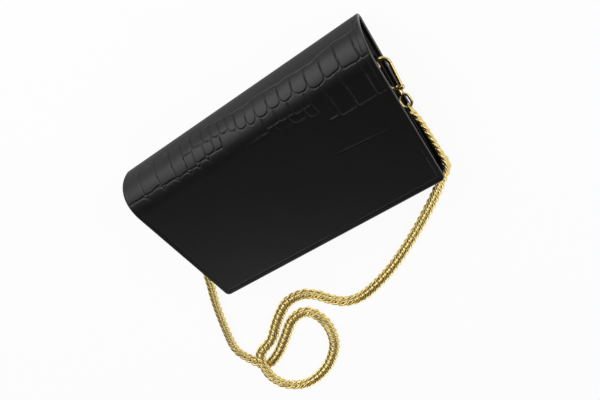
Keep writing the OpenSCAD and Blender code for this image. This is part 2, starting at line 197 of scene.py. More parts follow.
def settled(path):
    """The path of the flatter links: moved along the line of sight until they lie on the table,
    and outwards where they hang on edge beside the bag."""
    tilt = np.radians(path[:, 3])
    rest = (CHAIN_W * np.abs(np.sin(tilt)) + CHAIN_T * np.abs(np.cos(tilt))) / 2
    lift = path[:, 2] - path[:, 4]
    share = CHAIN_T / ROUTE_T
    lift *= share + (1 - share) * smooth_step(lift, RISE_FROM, RISE_TO)
    drop = path[:, 2] - rest - lift
    sight = np.array(CAMERA_AT) / MM - path[:, :3]
    made = path[:, :4].copy()
    made[:, :3] -= sight * (drop / sight[:, 2])[:, None]
    made[:, 0] += (np.sign(path[:, 0]) * END_SHIFT * smooth_step(path[:, 3], *END_TILT)
                   * smooth_step(path[0, 1] - path[:, 1], 0, END_REACH))
    return made


def along(path, at):
    """The path's rows at given lengths from its start."""
    gaps = np.linalg.norm(np.diff(path[:, :3], axis=0), axis=1)
    length = np.concatenate([[0], np.cumsum(gaps)])
    return np.stack([np.interp(at, length, path[:, k]) for k in range(path.shape[1])], 1)


def unit(v):
    return v / np.linalg.norm(v, axis=-1, keepdims=True)


def link_points():
    """The surface of one link in millimetres: across the chain, along it, and through it."""
    turn = np.linspace(0, 2 * math.pi, LINK_STEPS, endpoint=False)
    rise = CHAIN_T / 2 - LINK_WIRE
    c, s = math.cos(LINK_LEAN), math.sin(LINK_LEAN)
    crossing = math.atan2(-s / LINK_SHORT, c / LINK_LONG)
    line = np.stack([LINK_LONG * s * np.cos(turn) + LINK_SHORT * c * np.sin(turn),
                     LINK_LONG * c * np.cos(turn) - LINK_SHORT * s * np.sin(turn),
                     rise * np.sin(2 * (turn - crossing))], 1)
    ahead = unit(np.roll(line, -1, 0) - np.roll(line, 1, 0))
    out = line * [1, 1, 0]
    out = unit(out - (out * ahead).sum(1, keepdims=True) * ahead)
    over = np.cross(ahead, out)
    angle = np.linspace(0, 2 * math.pi, WIRE_SIDES, endpoint=False)
    ring = (line[:, None] + LINK_FLAT * out[:, None] * np.cos(angle)[None, :, None]
            + LINK_WIRE * over[:, None] * np.sin(angle)[None, :, None])
    return ring.reshape(-1, 3)


def link_frames(path, at):
    """Where the links are along the path, and their directions across, ahead and through."""
    here = along(path, at)
    ahead = unit(along(path, at + 1)[:, :3] - along(path, at - 1)[:, :3])
    side = unit(np.cross(ahead, [0, 0, 1.0]))
    up = np.cross(side, ahead)
    tilt = np.radians(here[:, 3:4])
    across = side * np.cos(tilt) + up * np.sin(tilt)
    through = up * np.cos(tilt) - side * np.sin(tilt)
    return here[:, :3], across, ahead, through


def make_chain(material):
    """A woven chain of leaning, twisted oval links, every second one smaller."""
    path = settled(chain_path())
    length = np.linalg.norm(np.diff(path[:, :3], axis=0), axis=1).sum()
    at = np.linspace(LINK_PITCH, length - LINK_PITCH, int(length / LINK_PITCH))
    link = link_points()
    n, m = LINK_STEPS, WIRE_SIDES
    quads = [(i * m + j, (i + 1) % n * m + j, (i + 1) % n * m + (j + 1) % m, i * m + (j + 1) % m)
             for i in range(n) for j in range(m)]
    verts, faces = [], []
    for k, (spot, across, ahead, through) in enumerate(zip(*link_frames(path, at))):
        size = SMALL_LINK if k % 2 else 1
        verts.append(spot + size * (link[:, :1] * across + link[:, 1:2] * ahead
                                    + link[:, 2:] * through))
        faces += [tuple(v + k * n * m for v in quad) for quad in quads]
    chain = new_mesh("woven_chain", np.vstack(verts) * MM, faces, [material], smooth=True)
    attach(chain, "root")
    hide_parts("chain")


# Meshes

def new_mesh(name, verts, faces, materials, smooth=False, sharp=None, index=None):
    """A mesh object from points in metres."""
    mesh = bpy.data.meshes.new(name)
    mesh.from_pydata([tuple(v) for v in verts], [], faces)
    for m in materials:
        mesh.materials.append(m)
    if index is not None:
        mesh.polygons.foreach_set("material_index", index)
    if smooth or sharp:
        mesh.polygons.foreach_set("use_smooth", [True] * len(mesh.polygons))
    work = bmesh.new()
    work.from_mesh(mesh)
    bmesh.ops.recalc_face_normals(work, faces=work.faces)
    work.to_mesh(mesh)
    work.free()
    if sharp:
        mesh.set_sharp_from_angle(angle=math.radians(sharp))
    mesh.validate()
    made = bpy.data.objects.new(name, mesh)
    bpy.context.scene.collection.objects.link(made)
    return made


def shell(name, outer, inner, rows, cols, materials, edge, sharp=50):
    """A closed sheet from two grids of points in millimetres that meet along their border.
    The inner side keeps only the given rows and columns. Faces where edge is true get the
    second material."""
    nr, nc = outer.shape[:2]
    verts = list(outer.reshape(-1, 3) * MM)
    faces, index = [], []

    def o(i, j):
        return i * nc + j

    mark = np.asarray(edge, bool)
    for i in range(nr - 1):
        for j in range(nc - 1):
            faces.append((o(i, j), o(i, j + 1), o(i + 1, j + 1), o(i + 1, j)))
            index.append(int(mark[i, j] and mark[i + 1, j + 1]))
    inside = {}
    for i in rows[1:-1]:
        for j in cols[1:-1]:
            inside[i, j] = len(verts)
            verts.append(inner[i, j] * MM)

    def corner(i, j):
        return inside.get((i, j), o(i, j))

    for a, b in zip(rows[:-1], rows[1:]):
        for c, d in zip(cols[:-1], cols[1:]):
            loop = [corner(a, c)]
            if c == 0:
                loop += [o(i, 0) for i in range(a + 1, b)]
            loop.append(corner(b, c))
            if b == nr - 1:
                loop += [o(b, j) for j in range(c + 1, d)]
            loop.append(corner(b, d))
            if d == nc - 1:
                loop += [o(i, d) for i in range(b - 1, a, -1)]
            loop.append(corner(a, d))
            if a == 0:
                loop += [o(0, j) for j in range(d - 1, c, -1)]
            faces.append(tuple(loop))
            index.append(int(mark[a, c] and mark[b, d]))
    return new_mesh(name, verts, faces, materials, sharp=sharp, index=index)


def steps(*stops):
    """Values from the first stop on: each (end, spacing) adds an evenly spaced stretch."""
    made = [stops[0]]
    for end, gap in stops[1:]:
        count = max(1, round(abs(end - made[-1]) / gap))
        made += list(np.linspace(made[-1], end, count + 1)[1:])
    return np.array(made)


def bead(away, radius):
    """Depth of a quarter round along an edge, at a distance from it."""
    short = np.clip(radius - away, 0, radius)
    return radius - np.sqrt(radius ** 2 - short ** 2)


def bead_stops(radius, count=6):
    return radius * (1 - np.cos(np.radians(np.linspace(0, 90, count))))


def smooth_step(v, low, high):
    t = np.clip((v - low) / (high - low), 0, 1)
    return t * t * (3 - 2 * t)


def half_width(y):
    return FOOT_HALF + (HALF_TOP - FOOT_HALF) * (y + HALF_H) / (2 * HALF_H)


def under_z(y, depth):
    """Height of a plane a depth under the flap's flat outer face."""
    return FOOT_D - depth / math.cos(SLOPE) + (y + HALF_H) * math.tan(SLOPE)


def every_line(grid):
    """The indices of all of a grid's rows, and of all its columns."""
    return [list(range(n)) for n in grid.shape]


def slab(name, middle, normal, thick, away, material):
    """A closed sheet about a middle surface in millimetres, its edges rounded."""
    half = np.broadcast_to(np.asarray(thick, float) / 2, away.shape)
    short = np.clip(half - away, 0, half)
    half = np.sqrt(half ** 2 - short ** 2)[..., None]
    return shell(name, middle + normal * half, middle - normal * half, *every_line(away),
                 [material], np.zeros(away.shape))


# The outer skin's section, from the foot of the back, round the fold, to the foot of the flap

def skin_section():
    """Points (y, z) of the outer face, their length from the start and their outward normals."""
    y0 = HALF_H - BACK_BEND_R
    back = [(y, 0.0) for y in np.linspace(-HALF_H, y0, 120)]
    bend = [(y0 + BACK_BEND_R * math.sin(a), BACK_BEND_R * (1 - math.cos(a)))
            for a in np.radians(np.linspace(3, 87, 29))]
    k = 2 / CURVE_POWER
    low = math.asin((BACK_BEND_R / TOP_D) ** (CURVE_POWER / 2))
    top = [(HALF_H - CURVE_L * (1 - math.cos(a) ** k), TOP_D * math.sin(a) ** k)
           for a in np.linspace(low, math.radians(88.6), 160)]
    corner = HALF_H - CURVE_L
    flat = [(corner + (-HALF_H - corner) * t, TOP_D + (FOOT_D - TOP_D) * t)
            for t in np.linspace(0.012, 1, 200)]
    p = np.array(back + bend + top + flat)
    length = np.concatenate([[0], np.cumsum(np.linalg.norm(np.diff(p, axis=0), axis=1))])
    ahead = unit(np.gradient(p, length, axis=0))
    normal = np.stack([ahead[:, 1], -ahead[:, 0]], 1)
    return p, length, normal


SECTION, SECTION_AT, SECTION_N = skin_section()
TOTAL = SECTION_AT[-1]

# Along the section: the flap's length, the fold and the seam behind it
FLAP_L = 145.46
FOLD_AT = TOTAL - FLAP_L
SEAM = FOLD_AT + 13.0
SEAM_STEP = 0.02


def place(x, s, depth):
    """Points of the skin: across, along the section, and a depth inside the outer face."""
    y = np.interp(s, SECTION_AT, SECTION[:, 0])
    z = np.interp(s, SECTION_AT, SECTION[:, 1])
    ny = np.interp(s, SECTION_AT, SECTION_N[:, 0])
    nz = np.interp(s, SECTION_AT, SECTION_N[:, 1])
    n = np.hypot(ny, nz)
    return np.stack([x, y - depth * ny / n, z - depth * nz / n], -1)


# The pressed line along a border, and the mesh's columns there
BORDER_AT = 4.2
BORDER_W = 0.28
BORDER_DEPTH = 0.22
BORDER_SHALLOW = 0.16
BORDER_STOPS = [3.0, 3.1, 3.5, 3.8, 4.0, 4.2, 4.4, 4.6, 4.9, 5.4]


def edge_stops(radius):
    return np.concatenate([bead_stops(radius), [1.9, 2.5], BORDER_STOPS])


def away_from_edge(x, half, v, corner):
    """Distance from a panel's edge with rounded corners, where v is the distance from its end."""
    side = half - np.abs(x)
    cx, cv = corner - side, corner - v
    round_part = corner - np.hypot(cx, cv)
    return np.where((cx > 0) & (cv > 0), round_part, np.minimum(side, v))


def row_half(half, v, corner):
    """Half width of a row near a rounded end."""
    short = np.clip(corner - v, 0, corner)
    return half - corner + np.sqrt(corner ** 2 - short ** 2)


def across_columns(half, stops, gap):
    """Columns from the left edge to the right edge, for rows of half width half."""
    inner = half - stops[-1]
    count = int(round(2 * inner.max() / gap))
    share = np.linspace(-1, 1, count + 1)[1:-1]
    left = -half[:, None] + stops[None, :]
    return np.concatenate([left, inner[:, None] * share[None, :], -left[:, ::-1]], 1)


def picked(total, edge_count, every):
    """All of the edge's indices and some of the rest, in order."""
    middle = range(edge_count, total - edge_count, every)
    return sorted(set(range(edge_count)) | set(middle) | set(range(total - edge_count, total)))


def border_line(away, depth=BORDER_DEPTH):
    return depth * np.exp(-((away - BORDER_AT) / BORDER_W) ** 2)


# Emboss of the flap: scales in rows, in millimetres across and along the flap from the fold. The
# shoulder is the slope from a scale's top down to its groove.

GROOVE = 0.3
SHOULDER = 0.7
LOW_SHOULDER = 0.35
WALL_POWER = 1.7
SCALE_RISE = 0.4
SCALE_DOME = 0.07
DOME_REACH = 2.2
ROUND_MOST = 9.0

# The plain band's lower end
BAND_X = (-105, -72, -46, -30, -8, 10, 28, 49, 62, 84, 105)
BAND_S = (19.0, 18.0, 18.3, 17.2, 21.7, 24.3, 23.4, 25.2, 26.2, 22.8, 21.5)

# The first row: its cuts across, where its scales end, and how round their lower corners are
TOP_CUTS = (-107, -86.5, -71, -56.5, -45.5, -36, -26.5, -19, -11.8, -5, 2, 10.5, 18.5, 28.5,
            38.5, 49, 60, 72, 84, 97, 107)
TOP_ENDS = (40.3, 40, 41.6, 42.2, 31.5, 30.7, 31.3, 32.3, 34.4, 36.4, 38.8, 39.6, 39.9, 39,
            39.2, 40.5, 42.2, 41.4, 42.6, 42.6)
ROUND_X = (-50, -40, 0, 55, 75, 100)
ROUND_LOW = (0.08, 0.36, 0.5, 0.45, 0.32, 0.18)

# A short row under it at the left
LEFT_FROM = 26.0
LEFT_CUTS = (-45.5, -37.5, -28, -20, -13)
LEFT_ENDS = (42.6, 41.5, 41, 41.5)

# The second row, and how round its upper corners are
NEXT_CUTS = (-107, -86, -70, -56, -44.5, -36, -27, -13.5, 21, 31.5, 42, 54.5, 66, 79, 93.5, 107)
NEXT_STARTS = (40.9, 40.6, 42.2, 42.8, 43.1, 42, 41.6, 30, 30, 30, 30, 30, 30, 30, 30)
NEXT_TOPS = (0.45, 0.45, 0.45, 0.45, 0.45, 0.45, 0.3, 0.1, 0.1, 0.1, 0.1, 0.1, 0.1, 0.1, 0.1)
NEXT_ENDS = (56, 56, 56, 56, 56, 56, 56, 49.5, 47.5, 48, 49.5, 65.5, 67.5, 68, 68.7)

# The third row
LAST_FROM = 40.0
LAST_CUTS = (14, 26, 37, 48, 58)
LAST_ENDS = (53, 54.5, 55.5, 58)

# Where the emboss ends, and how much of it is left under the first row
FADE_X = (-105, -50, -20, 5, 20, 40, 55, 60, 105)
FADE_END = (45.5, 46.5, 47.5, 51, 53, 57, 60, 71, 72)
FADE_REST = 0.8
FIRST_FADE = (40.5, 46)

# Single lines: from x, to x, from s, to s, depth
LINE_W = 0.38
LINES = ((46, 97, 88.5, 93.5, 0.26), (82, 89, 114.8, 114.4, 0.2))


def box_distance(x, s, x0, x1, s0, s1, top_r, low_r):
    """Signed distance from a box with rounded corners, which may differ at its two ends."""
    cx, cs = (x0 + x1) / 2, (s0 + s1) / 2
    r = np.where(s > cs, low_r, top_r)
    qx = np.abs(x - cx) - (x1 - x0) / 2 + r
    qs = np.abs(s - cs) - (s1 - s0) / 2 + r
    return np.minimum(np.maximum(qx, qs), 0) + np.hypot(np.maximum(qx, 0), np.maximum(qs, 0)) - r


def scale_row(x, s, cuts, starts, ends, top_share, low_share):
    """Distance from the nearest scale of a row."""
    found = np.full(x.shape, 99.0)
    top_share, low_share = (np.broadcast_to(v, len(ends)) for v in (top_share, low_share))
    for x0, x1, s0, s1, top, low in zip(cuts[:-1], cuts[1:], starts, ends, top_share, low_share):
        small = min(x1 - x0, s1 - s0, ROUND_MOST)
        d = box_distance(x, s, x0 + GROOVE / 2, x1 - GROOVE / 2, s0, s1, small * top, small * low)
        found = np.minimum(found, d)
    return found


def emboss(x, s):
    """How deep the skin lies under its plain level, which is most in the grooves."""
    band = np.interp(x, BAND_X, BAND_S)
    sway = 0.5 * np.sin(x * 0.21) + 0.35 * np.sin(x * 0.47 + 1.3)
    lean = x + 0.5 * np.sin(s * 0.16 + x * 0.03)
    drop = s - band - sway * smooth_step(s, 60, 30)
    centre = (np.array(TOP_CUTS[:-1]) + TOP_CUTS[1:]) / 2
    ends = TOP_ENDS - np.interp(centre, BAND_X, BAND_S)
    low_share = np.interp(centre, ROUND_X, ROUND_LOW)
    first = scale_row(lean, drop, TOP_CUTS, 0 * centre, ends, 0.14, low_share)
    first = np.minimum(first, drop + GROOVE)
    left = scale_row(lean, s, LEFT_CUTS, [LEFT_FROM] * len(LEFT_ENDS), LEFT_ENDS, 0.1, 0.24)
    left = np.maximum(left, GROOVE - first)
    near = np.minimum(first, left)
    second = scale_row(lean, s, NEXT_CUTS, NEXT_STARTS, NEXT_ENDS, NEXT_TOPS, 0.2)
    near = np.minimum(near, np.maximum(second, GROOVE - near))
    third = scale_row(lean, s, LAST_CUTS, [LAST_FROM] * len(LAST_ENDS), LAST_ENDS, 0.1, 0.4)
    near = np.minimum(near, np.maximum(third, GROOVE - near))
    clear = np.maximum(np.maximum(-near, near - GROOVE), 0)
    end = np.interp(x, FADE_X, FADE_END)
    fade = 1 - (1 - FADE_REST) * smooth_step(s, *FIRST_FADE)
    fade = fade - FADE_REST * smooth_step(s, end - 3, end + 1)
    wall = np.clip(clear / (SHOULDER * (LOW_SHOULDER + (1 - LOW_SHOULDER) * fade)), 0, 1)
    low = fade * (SCALE_RISE * (1 - wall) ** WALL_POWER + SCALE_DOME * np.exp(-clear / DOME_REACH))
    for x0, x1, s0, s1, depth in LINES:
        line = s - (s0 + (s1 - s0) * (x - x0) / (x1 - x0))
        reach = smooth_step(x, x0 - 4, x0 + 8) * smooth_step(x, x1 + 3, x1 - 3)
        low = low + depth * reach * np.exp(-(line / LINE_W) ** 2)
    return low


def sag(x, s):
    """Slight unevenness of the leather over its board."""
    return (0.16 * np.sin(x * 0.043 + 0.6) * np.sin(s * 0.037 + 0.4)
            + 0.07 * np.sin(x * 0.11 + s * 0.06))


# Rows of the flap's mesh from the fold on, by end and spacing, close where it is embossed, and
# every how many of its rows and columns the inside keeps
FLAP_ROWS = ((71, 0.38), (86, 1.6), (97, 0.5), (112.5, 1.6), (116, 0.5))
PLAIN_GAP = 1.6
FLAP_GAP = 0.4
INSIDE_ROWS = 6
INSIDE_COLS = 8

# Over what width the emboss rises from the edge, where the boards begin from the fold, where the
# back begins to bend, and what share of an edge's round is painted
FLUSH_EDGE = (1.0, 3.2)
FLAP_BOARD_AT = (30.6, 31.0)
BACK_BOARD_AT = (8.4, 8.8)
BEND_REACH = 14.0
PAINTED = 0.9


def leather_depth(away, board):
    """Depth of the leather's inner side: whole at the rim, and thinner where it is lined."""
    return np.where(away < RIM_EDGE, PANEL_T, PANEL_T - LINING_T - BOARD_T * board)


def make_flap(leather, paint):
    """The flap's leather from the seam at the back of the fold to the foot."""
    radius = PANEL_T / 2
    stops = edge_stops(radius)
    ends = TOTAL - stops[::-1]
    rows = steps(SEAM, (SEAM + SEAM_STEP, SEAM_STEP),
                 *((FOLD_AT + end, gap) for end, gap in FLAP_ROWS), (ends[0] - 1.2, PLAIN_GAP))
    rows = np.concatenate([rows, ends])
    y = np.interp(rows, SECTION_AT, SECTION[:, 0])
    v = TOTAL - rows
    x = across_columns(row_half(half_width(y), v, CORNER_R), stops, FLAP_GAP)
    s = np.repeat(rows[:, None], x.shape[1], 1)
    away = away_from_edge(x, half_width(y)[:, None], v[:, None], CORNER_R)
    start = s - SEAM
    flush = smooth_step(away, *FLUSH_EDGE) * smooth_step(start, 0, 2)
    depth = (emboss(x, s - FOLD_AT) + sag(x, s)) * flush + border_line(away)
    depth = np.maximum(depth, 0) + bead(away, radius)
    seam_row = start < SEAM_STEP / 2
    outer = place(x, s, np.where(seam_row, radius, depth))
    board = smooth_step(s - FOLD_AT, *FLAP_BOARD_AT) * smooth_step(TOTAL - s, RIM_W, RIM_W + 0.1)
    inner_depth = leather_depth(away, board) - bead(away, radius)
    inner = place(x, s, np.where(seam_row, radius, inner_depth))
    total, edge_n = len(rows), len(stops)
    inside = set(range(2, total - edge_n, INSIDE_ROWS))
    kept_rows = sorted({0, 1} | inside | set(range(total - edge_n, total)))
    kept_cols = picked(x.shape[1], edge_n, INSIDE_COLS)
    flap = shell("flap_leather", outer, inner, kept_rows, kept_cols, [leather, paint],
                 away < radius * PAINTED)
    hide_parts("flap_skin", "fold_skin")
    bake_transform(flap)


def make_back(leather, paint):
    """The back's leather from its foot to the seam at the back of the fold."""
    radius = PANEL_T / 2
    stops = edge_stops(radius)
    rows = steps(stops[-1] + 1, (FOLD_AT - BEND_REACH, 3), (SEAM - SEAM_STEP, 0.6),
                 (SEAM, SEAM_STEP))
    rows = np.concatenate([stops, rows])
    y = np.interp(rows, SECTION_AT, SECTION[:, 0])
    x = across_columns(row_half(half_width(y), rows, BACK_CORNER_R), stops, 3)
    s = np.repeat(rows[:, None], x.shape[1], 1)
    away = away_from_edge(x, half_width(y)[:, None], rows[:, None], BACK_CORNER_R)
    seam_row = SEAM - s < SEAM_STEP / 2
    depth = bead(away, radius) + border_line(away, BORDER_SHALLOW) * smooth_step(SEAM - s, 0, 2)
    outer = place(x, s, np.where(seam_row, radius, depth))
    board = smooth_step(FOLD_AT - s, *BACK_BOARD_AT) * smooth_step(s, RIM_W, RIM_W + 0.1)
    inner_depth = leather_depth(away, board) - bead(away, radius)
    inner = place(x, s, np.where(seam_row, radius, inner_depth))
    back = shell("back_leather", outer, inner, *every_line(x), [leather, paint],
                 away < radius * PAINTED)
    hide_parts("back_panel")
    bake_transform(back)


# Inside of the bag

LINING_IN = RIM_W + 0.2
CLOTH_MID = PANEL_T - LINING_T / 2


def strip_lining(name, rows, away_end, body_a, body_b, start, end, nodes, material):
    """A lining that follows the outer skin between two lengths along its section."""
    stops = bead_stops(LINING_T / 2, 4)
    y = np.interp(rows, SECTION_AT, SECTION[:, 0])
    half = half_width(y) - LINING_IN
    x = across_columns(half, stops, 6)
    s = np.repeat(rows[:, None], x.shape[1], 1)
    away = np.minimum(half[:, None] - np.abs(x), away_end[:, None])
    middle = place(x, s, np.full(x.shape, CLOTH_MID))
    normal = (place(x, s, np.zeros(x.shape)) - middle) / CLOTH_MID
    made = slab(name, middle, normal, LINING_T, away, material)
    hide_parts(*nodes)
    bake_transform(made)


def make_linings(material):
    stops = bead_stops(LINING_T / 2, 4)
    low = LINING_IN + stops
    rows = steps(low[-1] + 3, (FOLD_AT - BEND_REACH, 5), (SEAM - SEAM_STEP, 0.7), (SEAM, SEAM_STEP))
    rows = np.concatenate([low, rows])
    away = np.where(SEAM - rows < SEAM_STEP / 2, 0, np.minimum(rows - LINING_IN, 9))
    strip_lining("back_inner", rows, away, "root", "fold", BACK_BEND[0], BACK_BEND[1],
                 ["back_lining"], material)
    high = TOTAL - LINING_IN - stops[::-1]
    rows = steps(SEAM, (SEAM + SEAM_STEP, SEAM_STEP), (FOLD_AT + 54, 0.8), (high[0] - 3, 5))
    rows = np.concatenate([rows, high])
    away = np.where(rows - SEAM < SEAM_STEP / 2, 0, np.minimum(TOTAL - LINING_IN - rows, 9))
    strip_lining("flap_inner", rows, away, "fold", "flap", *FLAP_BEND,
                 ["flap_lining", "fold_lining"], material)


def plan_grid(low, high, inset, corner, gap, stops):
    """Rows and columns of a panel's plan, with its distance from the edge."""
    low_rows, high_rows = low + stops, high - stops[::-1]
    between = steps(low_rows[-1] + gap / 2, (high_rows[0] - gap / 2, gap))
    y = np.concatenate([low_rows, between, high_rows])
    half = half_width(y) - inset
    x = across_columns(row_half(half, y - low, corner), stops, gap)
    yy = np.repeat(y[:, None], x.shape[1], 1)
    away = np.minimum(away_from_edge(x, half[:, None], yy - low, corner), high - yy)
    return x, yy, away


def make_front(leather, cloth, thread):
    """The front of the body under the flap, with its lining and a stitched edge."""
    low = -HALF_H + FOOT_IN
    radius = PANEL_T / 2
    x, y, away = plan_grid(low, MOUTH_Y, SIDE_IN, CORNER_R, 3, edge_stops(radius))
    outer_depth = FRONT_AT + bead(away, radius) + border_line(away, BORDER_SHALLOW)
    inner_depth = FRONT_AT + np.where(away < RIM_EDGE, PANEL_T - bead(away, radius), SKIN_T)
    outer = np.stack([x, y, under_z(y, outer_depth)], -1)
    inner = np.stack([x, y, under_z(y, inner_depth)], -1)
    front = shell("front_leather", outer, inner, *every_line(x), [leather], np.zeros(x.shape))
    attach(front, "root")
    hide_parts("front_panel")

    x, y, away = plan_grid(low + LINING_IN, MOUTH_Y - LINING_IN, SIDE_IN + LINING_IN, CORNER_R, 8,
                           bead_stops(LINING_T / 2, 4))
    middle = np.stack([x, y, under_z(y, FRONT_AT + CLOTH_MID)], -1)
    inside = slab("front_inner", middle, FLAT_NORMAL, LINING_T, away, cloth)
    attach(inside, "root")
    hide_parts("front_lining")

    seam_y = MOUTH_Y - SEAM_IN
    half = half_width(seam_y) - SIDE_IN - SEAM_IN
    at = np.arange(-half, half, STITCH_PITCH)
    here = np.stack([at, 0 * at + seam_y, 0 * at + under_z(seam_y, FRONT_AT)], 1)
    stitches("front_stitching", here, [1, 0, 0], FLAT_NORMAL, thread)


def make_pocket(cloth, thread):
    """A flat slip pocket on the back's lining, with a hem along its mouth."""
    half, low = POCKET_W / 2, -HALF_H + RIM_W + FOOT_IN
    high = low + POCKET_H
    stops = bead_stops(POCKET_T / 2, 4)
    side = np.concatenate([stops, [1.2, 2.0, 2.8, 3.6, 4.6]])
    between = steps(low + 8, (high - 9, 4), (high - 7.5, 0.5), (high - 1, 1))
    row = np.concatenate([low + side, between, high - stops[::-1]])
    col = np.concatenate([-half + side, steps(-half + 9, (half - 9, 4)), half - side[::-1]])
    x, y = np.meshgrid(col, row)
    sewn = np.minimum(half - np.abs(x), y - low)
    away = np.minimum(sewn, high - y)
    billow = 0.85 + 0.15 * np.sin(x * 0.09 + 1) * np.sin(y * 0.12)
    z = PANEL_T + POCKET_T / 2 + POCKET_GAP * smooth_step(sewn, 0.8, 4.4) * billow
    thick = POCKET_T * (1 + 0.5 * smooth_step(y, high - 8.6, high - 8.1))
    middle = np.stack([x, y, z], -1)
    pocket = slab("pocket_cloth", middle, np.array([0, 0, 1.0]), thick, away, cloth)
    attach(pocket, "root")
    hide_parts("slip_pocket")
    rise = PANEL_T + POCKET_T
    across = np.arange(-half + 1.4, half - 1, STITCH_PITCH)
    up = np.arange(low + 1.4, high, STITCH_PITCH)
    hem_z = PANEL_T + POCKET_GAP + POCKET_T * 1.2
    rows = [np.stack([across, 0 * across + low + 0.8, 0 * across + rise], 1),
            np.stack([across[1:-1], 0 * across[1:-1] + high - 7.2, 0 * across[1:-1] + hem_z], 1)]
    sides = [np.stack([0 * up + s * (half - 0.8), up, 0 * up + rise], 1) for s in (-1, 1)]
    turn = np.concatenate([np.tile([1.0, 0, 0], (sum(map(len, rows)), 1)),
                           np.tile([0, 1.0, 0], (sum(map(len, sides)), 1))])
    stitches("pocket_stitching", np.concatenate(rows + sides), turn, [0, 0, 1.0], thread)


def make_bottom(leather):
    """The bottom of the body, a little bowed."""
    low = -HALF_H + FOOT_IN
    half = half_width(low) - BOTTOM_END_IN
    top = under_z(low + BOTTOM_T, FRONT_AT + PANEL_T)
    stops = bead_stops(BOTTOM_T / 2)
    row = np.concatenate([PANEL_T + stops, steps(PANEL_T + 2, (top - 2, 1)), top - stops[::-1]])
    col = np.concatenate([-half + stops, steps(-half + 3, (half - 3, 4)), half - stops[::-1]])
    x, z = np.meshgrid(col, row)
    away = np.minimum(half - np.abs(x), np.minimum(z - PANEL_T, top - z))
    bow = BOTTOM_BOW * np.sin(math.pi * (z - PANEL_T) / (top - PANEL_T))
    middle = np.stack([x, low + BOTTOM_T / 2 - bow, z], -1)
    made = slab("bottom_leather", middle, np.array([0, -1.0, 0]), BOTTOM_T, away, leather)
    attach(made, "root")
    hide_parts("bottom_panel")


def make_gusset(hand, leather):
    """A soft side wall, its margins turned out on the back and the front, and creased low down."""
    mirror = 1 if hand == "right" else -1
    low, high = -HALF_H + FOOT_IN + BOTTOM_T, MOUTH_Y
    stops = bead_stops(GUSSET_T / 2)
    row = np.concatenate([low + stops, steps(low + 2, (high - 2, 2)), high - stops[::-1]])
    middle, normal, away = [], [], []
    half = GUSSET_T / 2
    turn_r = half + GUSSET_BEND
    for y in row:
        edge = half_width(y) - SIDE_IN
        z0, z1 = PANEL_T + half, float(under_z(y, FRONT_AT + PANEL_T)) - half
        wall = WALL_X - half
        flat = np.concatenate([edge - stops, np.linspace(edge - 1.4, wall + turn_r + 0.4, 2)])
        arc = np.radians(np.linspace(0, 90, 7))
        low_leg = [((x, z0), (0, -1)) for x in flat]
        low_arc = [((wall + turn_r - turn_r * math.sin(a), z0 + turn_r - turn_r * math.cos(a)),
                    (-math.sin(a), -math.cos(a))) for a in arc]
        rise = [((wall, z), (-1, 0)) for z in np.linspace(z0 + turn_r, z1 - turn_r, 13)[1:-1]]
        line = low_leg + low_arc + rise
        line += [((x, z1 - (z - z0)), (nx, -nz))
                 for (x, z), (nx, nz) in reversed(low_leg + low_arc)]
        share = np.array([(z - z0 - turn_r) / (z1 - z0 - 2 * turn_r) for (x, z), _ in line])
        crease = CREASE * np.sin(math.pi * np.clip(share, 0, 1)) ** 4
        crease = crease * smooth_step(y, 8, -14) * smooth_step(y, low, low + 9)
        middle.append([(mirror * (x - c), y, z) for ((x, z), _), c in zip(line, crease)])
        normal.append([(mirror * nx, 0, nz) for _, (nx, nz) in line])
        side = np.array([edge - x for (x, z), _ in line])
        away.append(np.minimum(side, min(y - low, high - y)))
    made = slab(f"gusset_leather_{hand}", np.array(middle), np.array(normal, float), GUSSET_T,
                np.array(away), leather)
    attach(made, "root")
    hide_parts(f"gusset_{hand}")


